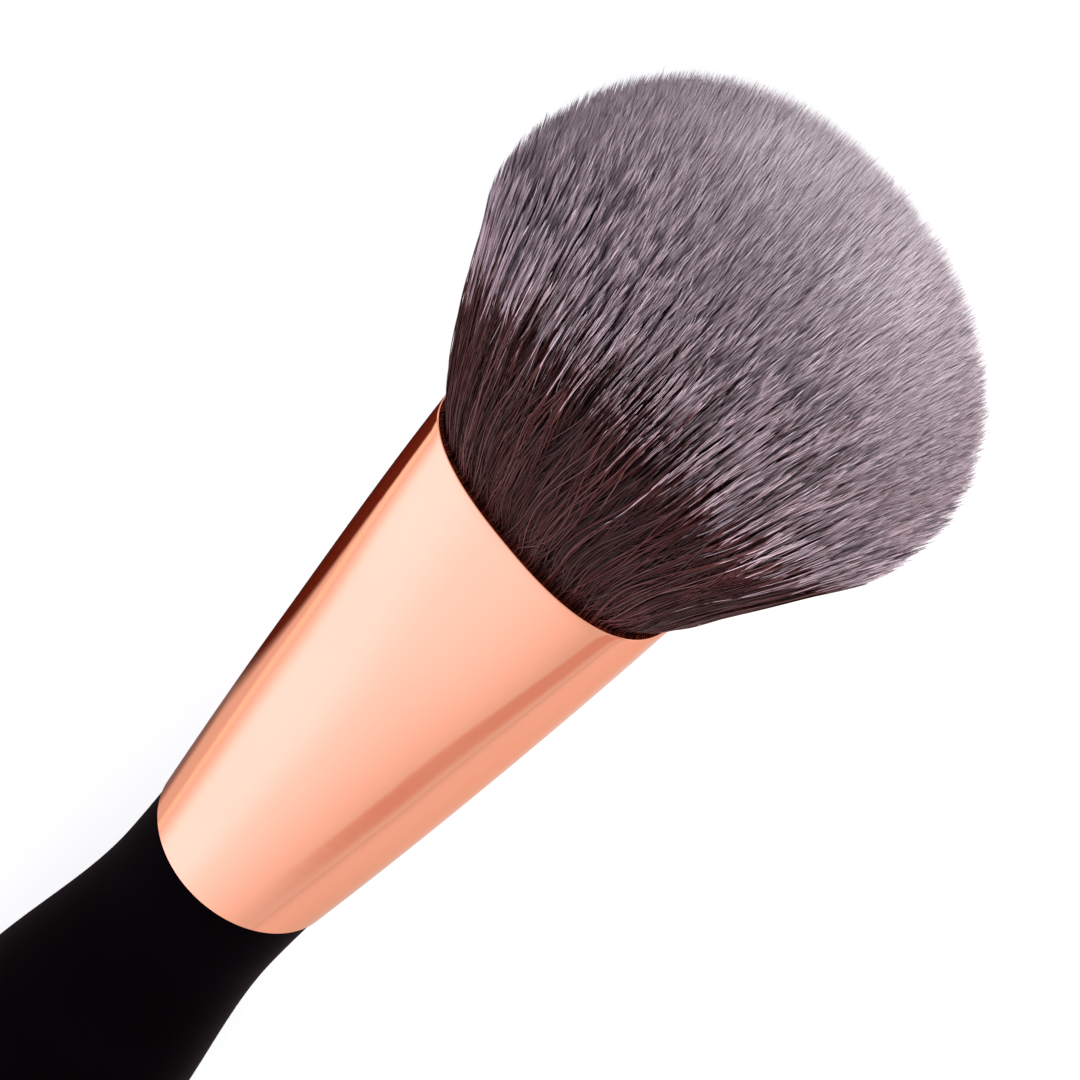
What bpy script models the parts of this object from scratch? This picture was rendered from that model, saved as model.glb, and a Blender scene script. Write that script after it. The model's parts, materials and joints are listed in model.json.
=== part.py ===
"""Powder brush lying on its broad side: a turned handle, a pressed metal ferrule and a cupped bristle knot.

Units are metres. Each piece is made in the brush's own frame, whose U axis runs along the brush from the
handle (-U) to the bristle tips (+U), with U = 0 at the ferrule's small end, V across the broad side and W
through the thickness. An empty carries that frame and lays the brush on the surface at Z = 0, so that it
rests on the belly of its bristles and on the belly of its handle.
"""
import math

import bmesh
import bpy
import numpy as np
from mathutils import Vector
from mathutils.geometry import delaunay_2d_cdt

MM = 0.001
CLEARANCE = 0.3 * MM

# Ferrule: a round end that takes the tenon, and a flattened mouth that holds the bristles
FERRULE_LENGTH = 47.8 * MM
FERRULE_WALL = 0.45 * MM
ROUND_RADIUS = 8.0 * MM
MOUTH_HALF_WIDTH = 11.8 * MM
MOUTH_HALF_THICKNESS = 7.3 * MM
MOUTH_SQUARENESS = 2.45
WIDTH_BULGE = 1.3 * MM
THICKNESS_BULGE = 1.1 * MM
LIP_ROLL = 0.35 * MM
LIP_DEPTH = 0.6 * MM

# Handle: a waist behind the ferrule, a belly, a long taper and a small turned flat on the butt
HANDLE_SHOULDER_RADIUS = 7.75 * MM
HANDLE_WAIST = (-8.0 * MM, 7.62 * MM)
HANDLE_BELLY = (-35.0 * MM, 10.2 * MM)
HANDLE_TAPER = (-84.0 * MM, 7.4 * MM)
HANDLE_END = (-108.0 * MM, 5.8 * MM)
SHOULDER_SLOPE = 0.035
TAPER_SLOPE = 0.085
END_SLOPE = 0.035
BUTT_FLAT_RADIUS = 2.5 * MM
BUTT_ROUNDING = 4.6 * MM
TENON_LENGTH = 15.0 * MM
TENON_RADIUS = 6.6 * MM
TENON_CHAMFER = 0.8 * MM
TENON_GROOVES = 3
GROOVE_DEPTH = 0.35 * MM
GROOVE_WIDTH = 1.0 * MM

# Adhesive ring round the tenon
ADHESIVE_THICKNESS = 0.35 * MM
ADHESIVE_START = 1.5 * MM
ADHESIVE_END = 14.0 * MM

# Resin behind the roots, and the slice of resin that the bristles are fused to
RESIN_START = 17.5 * MM
RESIN_END = 30.0 * MM
ROOT_SLICE_THICKNESS = 2.0 * MM

# Bristles: the dome's half width, half thickness and height, and where it is widest
DOME_HALF_WIDTH = 20.3 * MM
DOME_HALF_THICKNESS = 15.0 * MM
DOME_HEIGHT = 16.4 * MM
DOME_START = 22.1 * MM
DOME_SQUARENESS = 2.4
DOME_OFFSET = -0.5 * MM
FLARE_POWER = 1.25
OUTER_SHARE = 0.86
SHORTEST_REACH = 0.5
DRIFT_POWER = 4
ROOT_GAP = 1.7 * MM
MOUTH_GAP = 0.35 * MM
STRAND_PITCH = 0.89 * MM
STRAND_JITTER = 0.04 * MM
STRAND_SIDES = 3
STRAND_ROOT_RADIUS = 0.20 * MM
STRAND_MOUTH_RADIUS = 0.26 * MM
STRAND_BELLY_RADIUS = 0.66 * MM
STRAND_TIP_LENGTH = 3.0 * MM
SEED = 7

# Binding thread
THREAD_RADIUS = 0.25 * MM
THREAD_PITCH = 1.0 * MM
THREAD_TURNS = 3
THREAD_START = 31.2 * MM
THREAD_POINTS_PER_TURN = 24
THREAD_CLEARANCE = 0.35 * MM
THREAD_LEAST_GAP = 0.4 * MM

# How the brush lies
PRESSED_FLAT = 0.5 * MM
FLAT_SOFTNESS = 0.25 * MM
PRESSED_REACH = 4.0 * MM

# Fineness of the round pieces, and the angles in degrees above which their edges show
FERRULE_SEGMENTS = 48
HANDLE_SEGMENTS = 36
HIDDEN_SEGMENTS = 32
FERRULE_STEPS = 9
LIP_STEPS = 3
ROUNDING_STEPS = 7
RESIN_STEPS = 4
TURNED_EDGE = 35
STRAND_EDGE = 30

# Settings of the triangulation: keep what lies inside the edges, and merge points closer than this
INSIDE_EDGES = 1
MERGE_DISTANCE = 1e-9


def clear_scene():
    for old in list(bpy.data.objects):
        bpy.data.objects.remove(old, do_unlink=True)


def make_material(name, colour, roughness, metallic):
    material = bpy.data.materials.new(name)
    material.use_nodes = True
    shader = material.node_tree.nodes["Principled BSDF"]
    shader.inputs["Base Color"].default_value = (*colour, 1.0)
    shader.inputs["Roughness"].default_value = roughness
    shader.inputs["Metallic"].default_value = metallic
    return material


def add_object(name, data, material, frame):
    obj = bpy.data.objects.new(name, data)
    obj.parent = frame
    data.materials.append(material)
    bpy.context.collection.objects.link(obj)
    return obj


def blend(start, end, share):
    return start + (end - start) * share


def oval_scale(angle, squareness):
    """Distance from the centre to a unit superellipse at an angle."""
    return (abs(math.cos(angle)) ** squareness + abs(math.sin(angle)) ** squareness) ** (-1.0 / squareness)


def oval_point(angle, half_width, half_thickness, squareness):
    reach = oval_scale(angle, squareness)
    return half_width * reach * math.cos(angle), half_thickness * reach * math.sin(angle)


def ferrule_section(u, inset=0.0):
    """Half width, half thickness and squareness of the ferrule's outer surface at u, drawn in by inset."""
    share = min(max(u / FERRULE_LENGTH, 0.0), 1.0)
    bulge = share * (1.0 - share)
    half_width = blend(ROUND_RADIUS, MOUTH_HALF_WIDTH, share) + WIDTH_BULGE * bulge
    half_thickness = blend(ROUND_RADIUS, MOUTH_HALF_THICKNESS, share) + THICKNESS_BULGE * bulge
    return half_width - inset, half_thickness - inset, blend(2.0, MOUTH_SQUARENESS, share)


def knot_section(u):
    """Half width, half thickness, squareness and sideways offset of the bristles' outline at u."""
    mouth = ferrule_section(FERRULE_LENGTH, FERRULE_WALL + LIP_ROLL + MOUTH_GAP)
    x = u - FERRULE_LENGTH
    if x <= 0.0:
        roots = ferrule_section(RESIN_END, FERRULE_WALL + ROOT_GAP)
        share = (u - RESIN_END) / (FERRULE_LENGTH - RESIN_END)
        return (*(blend(a, b, share) for a, b in zip(roots, mouth)), 0.0)
    if x < DOME_START:
        rise = 1.0 - (1.0 - x / DOME_START) ** FLARE_POWER
        return (blend(mouth[0], DOME_HALF_WIDTH, rise), blend(mouth[1], DOME_HALF_THICKNESS, rise),
                blend(mouth[2], DOME_SQUARENESS, x / DOME_START), DOME_OFFSET * x / DOME_START)
    return DOME_HALF_WIDTH, DOME_HALF_THICKNESS, DOME_SQUARENESS, DOME_OFFSET


def strand_end(share):
    """How far past the ferrule a strand reaches, from its share of the way out to the knot's edge."""
    if share < OUTER_SHARE:
        inward = share / OUTER_SHARE
        return DOME_START + DOME_HEIGHT * math.sqrt(1.0 - inward * inward)
    drop = (share - OUTER_SHARE) / (1.0 - OUTER_SHARE)
    return DOME_START * blend(1.0, SHORTEST_REACH, drop)


def strand_share(share, x, reach):
    """A strand's share of the outline at x, which drifts outwards until its tip is on the dome."""
    target = min(share / OUTER_SHARE, 1.0)
    return blend(share, target, (max(x, 0.0) / reach) ** DRIFT_POWER)


def close_loop(first, count):
    return [(first + i, first + (i + 1) % count) for i in range(count)]


def bridge(mesh, lower, upper):
    for i, j in close_loop(0, len(lower)):
        mesh.faces.new((lower[i], lower[j], upper[j], upper[i]))


def loft(rings, closed_ends):
    """Mesh through rings of equal length: a solid with two end faces, or a sleeve that closes on itself."""
    mesh = bmesh.new()
    made = [[mesh.verts.new(point) for point in ring] for ring in rings]
    for lower, upper in zip(made[:-1], made[1:]):
        bridge(mesh, lower, upper)
    if closed_ends:
        mesh.faces.new(made[0])
        mesh.faces.new(made[-1])
    else:
        bridge(mesh, made[-1], made[0])
    bmesh.ops.recalc_face_normals(mesh, faces=mesh.faces)
    return mesh


def mesh_from(mesh, name, smooth_angle):
    data = bpy.data.meshes.new(name)
    mesh.to_mesh(data)
    mesh.free()
    data.shade_smooth()
    data.set_sharp_from_angle(angle=math.radians(smooth_angle))
    return data


def ring_at(u, half_width, half_thickness, squareness, segments=FERRULE_SEGMENTS):
    ring = []
    for i in range(segments):
        v, w = oval_point(2.0 * math.pi * i / segments, half_width, half_thickness, squareness)
        ring.append(Vector((u, v, w)))
    return ring


def hermite(start, end, slope_in, slope_out, share):
    run = end[0] - start[0]
    s2 = share * share
    s3 = s2 * share
    return ((2 * s3 - 3 * s2 + 1) * start[1] + (s3 - 2 * s2 + share) * run * slope_in
            + (3 * s2 - 2 * s3) * end[1] + (s3 - s2) * run * slope_out)


def handle_curve():
    """The handle's outline from the butt to the shoulder, as (u, radius) pairs with rising u."""
    points = []
    for i in range(ROUNDING_STEPS):
        angle = 0.5 * math.pi * i / ROUNDING_STEPS
        points.append((HANDLE_END[0] - BUTT_ROUNDING * math.cos(angle),
                       blend(BUTT_FLAT_RADIUS, HANDLE_END[1], math.sin(angle))))
    stretches = (
        (HANDLE_END, HANDLE_TAPER, END_SLOPE, TAPER_SLOPE, 4),
        (HANDLE_TAPER, HANDLE_BELLY, TAPER_SLOPE, 0.0, 7),
        (HANDLE_BELLY, HANDLE_WAIST, 0.0, 0.0, 9),
        (HANDLE_WAIST, (0.0, HANDLE_SHOULDER_RADIUS), 0.0, SHOULDER_SLOPE, 3),
    )
    for start, end, slope_in, slope_out, steps in stretches:
        for i in range(steps):
            share = i / steps
            points.append((blend(start[0], end[0], share), hermite(start, end, slope_in, slope_out, share)))
    points.append((-CLEARANCE, HANDLE_SHOULDER_RADIUS))
    return points


def tenon_curve():
    """The tenon's outline from the shoulder to its end, with its glue grooves."""
    points = [(-CLEARANCE, TENON_RADIUS)]
    pitch = (ADHESIVE_END - ADHESIVE_START) / (TENON_GROOVES + 1)
    for i in range(TENON_GROOVES):
        middle = ADHESIVE_START + pitch * (i + 1)
        half = 0.5 * GROOVE_WIDTH
        points.append((middle - half, TENON_RADIUS))
        points.append((middle - 0.5 * half, TENON_RADIUS - GROOVE_DEPTH))
        points.append((middle + 0.5 * half, TENON_RADIUS - GROOVE_DEPTH))
        points.append((middle + half, TENON_RADIUS))
    points.append((TENON_LENGTH - TENON_CHAMFER, TENON_RADIUS))
    points.append((TENON_LENGTH, TENON_RADIUS - TENON_CHAMFER))
    return points


def build_handle(frame):
    rings = [ring_at(u, radius, radius, 2.0, HANDLE_SEGMENTS) for u, radius in handle_curve() + tenon_curve()]
    black = make_material("soft_touch_black", (0.012, 0.006, 0.010), 0.5, 0.0)
    return add_object("handle", mesh_from(loft(rings, True), "handle", TURNED_EDGE), black, frame)


def build_ferrule(frame):
    outside_end = FERRULE_LENGTH - LIP_DEPTH
    inside_end = FERRULE_LENGTH - 2.0 * LIP_DEPTH
    rings = []
    for i in range(FERRULE_STEPS + 1):
        u = blend(0.0, outside_end, i / FERRULE_STEPS)
        rings.append(ring_at(u, *ferrule_section(u)))
    for i in range(1, LIP_STEPS + 1):
        angle = 0.5 * math.pi * i / LIP_STEPS
        u = outside_end + LIP_DEPTH * math.sin(angle)
        rings.append(ring_at(u, *ferrule_section(u, LIP_ROLL * (1.0 - math.cos(angle)))))
    rings.append(ring_at(FERRULE_LENGTH, *ferrule_section(FERRULE_LENGTH, LIP_ROLL + FERRULE_WALL)))
    for i in range(FERRULE_STEPS + 1):
        u = blend(inside_end, 0.0, i / FERRULE_STEPS)
        rings.append(ring_at(u, *ferrule_section(u, FERRULE_WALL)))
    gold = make_material("rose_gold_metal", (0.86, 0.44, 0.32), 0.18, 1.0)
    return add_object("ferrule", mesh_from(loft(rings, False), "ferrule", TURNED_EDGE), gold, frame)


def build_adhesive(frame):
    inner = TENON_RADIUS + CLEARANCE
    outer = inner + ADHESIVE_THICKNESS
    section = ((ADHESIVE_START, outer), (ADHESIVE_END, outer), (ADHESIVE_END, inner), (ADHESIVE_START, inner))
    rings = [ring_at(u, radius, radius, 2.0, HIDDEN_SEGMENTS) for u, radius in section]
    amber = make_material("cured_adhesive", (0.55, 0.40, 0.18), 0.35, 0.0)
    data = mesh_from(loft(rings, False), "tenon_adhesive", TURNED_EDGE)
    return add_object("tenon_adhesive", data, amber, frame)


def build_resin(frame):
    end = RESIN_END - ROOT_SLICE_THICKNESS - CLEARANCE
    rings = []
    for i in range(RESIN_STEPS + 1):
        u = blend(RESIN_START, end, i / RESIN_STEPS)
        rings.append(ring_at(u, *ferrule_section(u, FERRULE_WALL + CLEARANCE)))
    brown = make_material("root_resin", (0.42, 0.30, 0.20), 0.3, 0.0)
    return add_object("root_resin", mesh_from(loft(rings, True), "root_resin", TURNED_EDGE), brown, frame)


def strand_seats():
    """Seats of the strands on the root slice, as (share, angle) in its oval, on a jittered hexagonal grid."""
    random = np.random.default_rng(SEED)
    half_width, half_thickness, squareness, _ = knot_section(FERRULE_LENGTH)
    row_pitch = STRAND_PITCH * math.sqrt(3.0) / 2.0
    rows = int(half_thickness / row_pitch) + 1
    columns = int(half_width / STRAND_PITCH) + 1
    seats = []
    for row in range(-rows, rows + 1):
        for column in range(-columns, columns + 1):
            jitter = random.uniform(-STRAND_JITTER, STRAND_JITTER, 2)
            v = (column + 0.5 * (row % 2)) * STRAND_PITCH + jitter[0]
            w = row * row_pitch + jitter[1]
            angle = math.atan2(w / half_thickness, v / half_width)
            share = math.hypot(v / half_width, w / half_thickness) / oval_scale(angle, squareness)
            if share < 1.0:
                seats.append((share, angle))
    return seats


def strand_rings(reach):
    """Distances past the ferrule, with radii, of the rings between a strand's root and its pointed tip."""
    belly = reach - STRAND_TIP_LENGTH
    rings = []
    for x in (0.0, 0.5 * belly, belly):
        spread = min(x / DOME_START, 1.0)
        rings.append((x, blend(STRAND_MOUTH_RADIUS, STRAND_BELLY_RADIUS, spread)))
    return rings


def strand_centre(share, angle, x, reach):
    """A point on a strand's centre line, x past the ferrule."""
    half_width, half_thickness, squareness, offset = knot_section(FERRULE_LENGTH + x)
    outward = strand_share(share, x, reach)
    v, w = oval_point(angle, half_width, half_thickness, squareness)
    return Vector((FERRULE_LENGTH + x, offset + v * outward, w * outward))


def pressed(point, tilt, height):
    """A point of the knot with the lowest hairs pressed flat on the surface that the brush lies on."""
    z = height + point.x * math.sin(tilt) + point.z * math.cos(tilt)
    if z > PRESSED_REACH:
        return point
    lifted = FLAT_SOFTNESS * math.log1p(math.exp(z / FLAT_SOFTNESS))
    return Vector((point.x, point.y, point.z + (lifted - z) / math.cos(tilt)))


def strand_corners(centre, radius, angle):
    """Corners of a strand's cross-section, which stays square to the U axis."""
    corners = []
    for k in range(STRAND_SIDES):
        turn = angle + 2.0 * math.pi * k / STRAND_SIDES
        corners.append(centre + Vector((0.0, radius * math.cos(turn), radius * math.sin(turn))))
    return corners


def build_slice(mesh, seats):
    """The root slice, with an open hole for each strand in its front face. Returns the holes' vertices."""
    rim = ring_at(RESIN_END, *ferrule_section(RESIN_END, FERRULE_WALL + CLEARANCE))
    back_u = RESIN_END - ROOT_SLICE_THICKNESS
    back = ring_at(back_u, *ferrule_section(back_u, FERRULE_WALL + CLEARANCE))
    points = [Vector((p.y, p.z)) for p in rim]
    edges = close_loop(0, len(rim))
    holes = []
    for share, angle in seats:
        centre = strand_centre(share, angle, RESIN_END - FERRULE_LENGTH, strand_end(share))
        first = len(points)
        points += [Vector((p.y, p.z)) for p in strand_corners(centre, STRAND_ROOT_RADIUS, angle)]
        edges += close_loop(first, STRAND_SIDES)
        holes.append(range(first, first + STRAND_SIDES))
    places, _, triangles, sources, _, _ = delaunay_2d_cdt(points, edges, [], INSIDE_EDGES, MERGE_DISTANCE)
    made = [mesh.verts.new((RESIN_END, p.x, p.y)) for p in places]
    vertex_of = {source: made[i] for i, merged in enumerate(sources) for source in merged}
    holes = [[vertex_of[i] for i in hole] for hole in holes]
    open_faces = {frozenset(hole) for hole in holes}
    for triangle in triangles:
        corners = [made[i] for i in triangle]
        if frozenset(corners) not in open_faces:
            mesh.faces.new(corners)
    back = [mesh.verts.new(p) for p in back]
    bridge(mesh, [vertex_of[i] for i in range(len(rim))], back)
    mesh.faces.new(back)
    return holes


def grow_strand(mesh, hole, share, angle, tilt, height):
    """A strand from its hole in the root slice, through its rings, to its pointed tip on the dome."""
    reach = strand_end(share)
    lower = hole
    for x, radius in strand_rings(reach):
        centre = strand_centre(share, angle, x, reach)
        corners = strand_corners(centre, radius, angle)
        upper = [mesh.verts.new(pressed(corner, tilt, height)) for corner in corners]
        bridge(mesh, lower, upper)
        lower = upper
    tip = mesh.verts.new(pressed(strand_centre(share, angle, reach, reach), tilt, height))
    for i, j in close_loop(0, STRAND_SIDES):
        mesh.faces.new((lower[i], lower[j], tip))


def build_knot(frame, tilt, height):
    """Bristles grown from the front face of the root slice, so that all are one body."""
    mesh = bmesh.new()
    seats = strand_seats()
    holes = build_slice(mesh, seats)
    for (share, angle), hole in zip(seats, holes):
        grow_strand(mesh, hole, share, angle, tilt, height)
    bmesh.ops.recalc_face_normals(mesh, faces=mesh.faces)
    print("strands:", len(seats))
    dyed = make_material("dyed_fibre", (0.20, 0.15, 0.17), 0.6, 0.0)
    return add_object("bristle_knot", mesh_from(mesh, "bristle_knot", STRAND_EDGE), dyed, frame)


def thread_path():
    """Points along the binding: a helix round the bristles just in front of the root slice."""
    points = []
    for i in range(THREAD_TURNS * THREAD_POINTS_PER_TURN + 1):
        turn = i / THREAD_POINTS_PER_TURN
        u = THREAD_START + THREAD_PITCH * turn
        half_width, half_thickness, squareness, _ = knot_section(u)
        out = STRAND_ROOT_RADIUS + THREAD_CLEARANCE + THREAD_RADIUS
        v, w = oval_point(2.0 * math.pi * turn, half_width + out, half_thickness + out, squareness)
        points.append(Vector((u, v, w)))
    return points


def least_thread_gap(points):
    """Least gap between the thread's turns, from the distances of points at least half a turn apart."""
    half_turn = THREAD_POINTS_PER_TURN // 2
    least = min((a - b).length for i, a in enumerate(points) for b in points[i + half_turn:])
    return least - 2.0 * THREAD_RADIUS


def build_binding(frame):
    points = thread_path()
    gap = least_thread_gap(points)
    print("least gap between the binding's turns, mm:", round(gap / MM, 3))
    assert gap > THREAD_LEAST_GAP
    curve = bpy.data.curves.new("knot_binding", "CURVE")
    curve.dimensions = "3D"
    curve.bevel_depth = THREAD_RADIUS
    curve.bevel_resolution = 1
    curve.use_fill_caps = True
    spline = curve.splines.new("POLY")
    spline.points.add(len(points) - 1)
    for slot, point in zip(spline.points, points):
        slot.co = (*point, 1.0)
    cotton = make_material("waxed_thread", (0.62, 0.56, 0.46), 0.8, 0.0)
    return add_object("knot_binding", curve, cotton, frame)


def resting_pose():
    """Tilt of the brush and height of its U axis at U = 0, from the line under both bellies."""
    belly_u = FERRULE_LENGTH + DOME_START
    belly_r = DOME_HALF_THICKNESS - PRESSED_FLAT
    tilt = 0.0
    for u, radius in handle_curve():
        tilt_here = math.atan2(belly_r - radius, belly_u - u)
        if tilt == 0.0 or tilt_here < tilt:
            tilt = tilt_here
    height = belly_r * math.cos(tilt) - belly_u * math.sin(tilt)
    return tilt, height


def seat_frame(frame, objects):
    """Move the frame so that the brush's box is centred on the origin and stands on Z = 0."""
    bpy.context.view_layer.update()
    depsgraph = bpy.context.evaluated_depsgraph_get()
    corners = []
    for obj in objects:
        evaluated = obj.evaluated_get(depsgraph)
        data = evaluated.to_mesh()
        corners += [obj.matrix_world @ v.co for v in data.vertices]
        evaluated.to_mesh_clear()
    low = [min(c[i] for c in corners) for i in range(3)]
    high = [max(c[i] for c in corners) for i in range(3)]
    frame.location.x -= 0.5 * (low[0] + high[0])
    frame.location.y -= 0.5 * (low[1] + high[1])
    frame.location.z -= low[2]
    bpy.context.view_layer.update()
    size = [round((high[i] - low[i]) / MM, 2) for i in range(3)]
    print("frame at, mm:", [round(c / MM, 3) for c in frame.location], "box, mm:", size)


def main():
    clear_scene()
    tilt, height = resting_pose()
    frame = bpy.data.objects.new("brush_frame", None)
    frame.rotation_euler = (0.0, -tilt, 0.0)
    frame.location = (0.0, 0.0, height)
    bpy.context.collection.objects.link(frame)
    objects = [
        build_handle(frame),
        build_ferrule(frame),
        build_adhesive(frame),
        build_resin(frame),
        build_knot(frame, tilt, height),
        build_binding(frame),
    ]
    seat_frame(frame, objects)
    print("tilt, degrees:", round(math.degrees(tilt), 3))


main()
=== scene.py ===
"""Powder brush: finishes, fine hair and a soft white studio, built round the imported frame."""
import json
import math
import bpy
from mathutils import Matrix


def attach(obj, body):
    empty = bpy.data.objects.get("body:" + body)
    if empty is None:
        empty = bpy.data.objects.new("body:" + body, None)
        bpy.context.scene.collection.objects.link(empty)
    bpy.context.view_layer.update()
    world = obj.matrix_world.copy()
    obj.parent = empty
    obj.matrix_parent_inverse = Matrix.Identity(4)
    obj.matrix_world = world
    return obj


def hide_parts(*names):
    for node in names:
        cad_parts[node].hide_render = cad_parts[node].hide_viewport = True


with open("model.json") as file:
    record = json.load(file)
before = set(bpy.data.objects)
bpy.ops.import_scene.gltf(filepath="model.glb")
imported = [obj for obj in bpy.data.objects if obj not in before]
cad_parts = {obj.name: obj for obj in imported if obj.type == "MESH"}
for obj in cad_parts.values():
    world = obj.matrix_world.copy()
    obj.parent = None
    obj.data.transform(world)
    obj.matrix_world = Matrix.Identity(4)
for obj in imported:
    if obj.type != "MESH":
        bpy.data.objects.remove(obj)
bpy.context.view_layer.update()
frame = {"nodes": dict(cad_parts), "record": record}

from types import SimpleNamespace

import bmesh
import bpy
import numpy as np
from mathutils import Matrix, Vector
from mathutils.kdtree import KDTree

# A pair of values whose name ends in REACH, FACING or EDGE is where a smooth step or a range starts and ends.
MM = 0.001
ROOT = "root"
WHITE = (1.0, 1.0, 1.0, 1.0)

# The Mix node's sockets for each kind of value: first input, second input, result
MIX_SOCKETS = {"RGBA": (6, 7, 2), "FLOAT": (2, 3, 0)}

# The brush's own frame: U along it, V across its broad side, W through its thickness, U = 0 at the ferrule's
# small end. It is read from the flat on the butt, which lies at a known place on the U axis.
BUTT_U = -112.6 * MM
BUTT = next(m for m in frame["record"]["mounts"] if m["name"] == "butt_face")
U_AXIS = -Vector(BUTT["axis"]).normalized()
V_AXIS = Vector((0.0, 1.0, 0.0))
W_AXIS = U_AXIS.cross(V_AXIS).normalized()
ORIGIN = Vector(BUTT["pos_m"]) - U_AXIS * BUTT_U
TO_WORLD = np.array([U_AXIS, V_AXIS, W_AXIS])

# Ferrule
FERRULE_LENGTH = 47.8 * MM
FERRULE_WALL = 0.45 * MM
ROUND_RADIUS = 8.0 * MM
MOUTH_HALF_WIDTH = 11.8 * MM
MOUTH_HALF_THICKNESS = 7.3 * MM
ROUND_SQUARENESS = 2.0
MOUTH_SQUARENESS = 2.45
WIDTH_BULGE = 1.3 * MM
THICKNESS_BULGE = 2.6 * MM
PRESS_START = 0.45
LIP_RADIUS = 0.12 * MM
LIP_STEPS = 6
INSIDE_STEPS = 11
INSIDE_START = 0.3 * MM
FERRULE_SEGMENTS = 256
FERRULE_STEPS = 60
FERRULE_SHARP_ANGLE = 60.0

# Handle: points of its outline, as (u, radius), and its slopes
HANDLE_SHOULDER = (0.0, 7.8 * MM)
HANDLE_WAIST = (-8.0 * MM, 7.62 * MM)
HANDLE_BELLY = (-35.0 * MM, 10.2 * MM)
HANDLE_TAPER = (-84.0 * MM, 7.4 * MM)
HANDLE_END = (-108.0 * MM, 5.8 * MM)
SHOULDER_SLOPE = 0.035
TAPER_SLOPE = 0.085
END_SLOPE = 0.035
SHOULDER_GAP = 0.04 * MM
TENON_GAP = 0.3 * MM
TENON_SHOWN = 4.0 * MM
BUTT_FLAT_RADIUS = 2.5 * MM
BUTT_ROUNDING = 4.6 * MM
BUTT_STEPS = 16
HANDLE_SEGMENTS = 160
HANDLE_SHARP_ANGLE = 40.0

# Stretches of the handle's outline: start, end, the slope at each, and the number of steps
HANDLE_STRETCHES = (
    (HANDLE_END, HANDLE_TAPER, END_SLOPE, TAPER_SLOPE, 14),
    (HANDLE_TAPER, HANDLE_BELLY, TAPER_SLOPE, 0.0, 28),
    (HANDLE_BELLY, HANDLE_WAIST, 0.0, 0.0, 30),
    (HANDLE_WAIST, HANDLE_SHOULDER, 0.0, SHOULDER_SLOPE, 10),
)

# Outline of the hair
MOUTH_GAP = 0.28 * MM
DOME_HALF_WIDTH = 20.2 * MM
DOME_HALF_THICKNESS = 15.0 * MM
DOME_HEIGHT = 17.9 * MM
DOME_START = 22.1 * MM
DOME_SQUARENESS = 2.4
DOME_TILT = 0.1 * MM
DOME_ROUNDNESS = (1.70, 1.88)
DOME_OFFSET = -0.45 * MM
OFFSET_REACH = (6.0 * MM, 19.0 * MM)
FLARE_POWER = 1.35
FIRST_END = 14.0 * MM
MOST_SHARE = 9.0
LEAST_SHARE = 1e-4
HALVINGS = 24

# How the fibres fan out inside the outline
SIDE_SLOPE = 0.415
OPENING = 0.75 * MM
OPENING_LENGTH = 1.0 * MM
FACING_POWER = 1.5
FACE_NARROWING = 0.42
NARROWING_POWER = 1.5
NARROWING_LEAN = 0.5
FACE_SPREAD = 0.10

# The lowest hairs, pressed flat below a height
PRESSED_HEIGHT = 4.0 * MM
FLAT_SOFTNESS = 0.25 * MM

# Number, thickness and length of the fibres
SEED = 11
FIBRE_COUNT = 42000
WISP_COUNT = 4200
LOCK_COUNT = 1000
SEAT_JITTER = 0.45
HEX_ROW = math.sqrt(3.0) / 2.0
OVAL_STEPS = 721
SHELL_START = 0.90
SHELL_KEPT = 0.65
FIBRE_RADIUS = 0.034 * MM
SHELL_RADIUS = 0.042 * MM
SHELL_THICK_FROM = 0.85
SHELL_THICK_WITHIN = 0.08
TIP_RADIUS = 0.013 * MM
TAPER_LENGTH = 4.0 * MM
TAPER_POWER = 0.7
ROOT_DEPTH = 2.0 * MM
SHORTNESS = 0.60 * MM
REACH_SCATTER = 0.20 * MM

# Layers from the outside in: name, share of the oval where each ends inwards, and the places of its rings
# below and above the dye line
LAYERS = (
    ("shell", 0.93, np.linspace(0.0, 0.96, 21), np.linspace(0.06, 1.0, 10)),
    ("under", 0.80, np.linspace(0.0, 0.92, 8), np.linspace(0.05, 1.0, 9)),
    ("middle", 0.55, np.array([0.0, 0.5, 0.95]), np.linspace(0.05, 1.0, 8)),
    ("heart", -1.0, np.array([0.0, 0.95]), np.linspace(0.05, 1.0, 7)),
)
FACES_PER_PIECE = 96000

# Dye lines
SIDE_DYED_LENGTH = 7.3 * MM
FACE_DYED_LENGTH = 4.0 * MM
APEX_DYED_LENGTH = 14.0 * MM
APEX_REACH = (30.0 * MM, 37.0 * MM)
SIDE_DYE_START = 13.0 * MM
FACE_DYE_START = 26.7 * MM
DYE_START_POWER = 1.25
DYE_TILT = 3.2 * MM
WISP_DYE = 1.15 * MM
LOCK_DYE = 0.9 * MM
OWN_DYE = 1.5 * MM
EARLY_DYE = 1.8 * MM
EARLY_DYE_SHIFT = 0.6 * MM
LEAST_DYED = 0.4 * MM
LATE_DYE_SHARE = 0.40
LATE_DYE = 4.2 * MM
LATE_LEAST_DYED = 1.2 * MM

# Shades: each wisp and each fibre has its own, at random, partly tone and partly painted shade standing in
# for shadow between the wisps; they even out towards the apex and the rim
SHADE_DEPTH = 0.82
CALM_REACH = (31.0 * MM, 40.0 * MM)
RIM_FACING = (0.20, 0.62)
RIM_REACH = (24.0 * MM, 30.0 * MM)
EVEN_SHADE = 0.54
LEAST_CONTRAST = 0.18
# Painted shade on the broad faces, darker towards the apex
FACE_PAINTED_SHADE_REACH = (31.0 * MM, 36.0 * MM)
FACE_PAINTED_SHADE = 0.14
TINTS = 128

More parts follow.
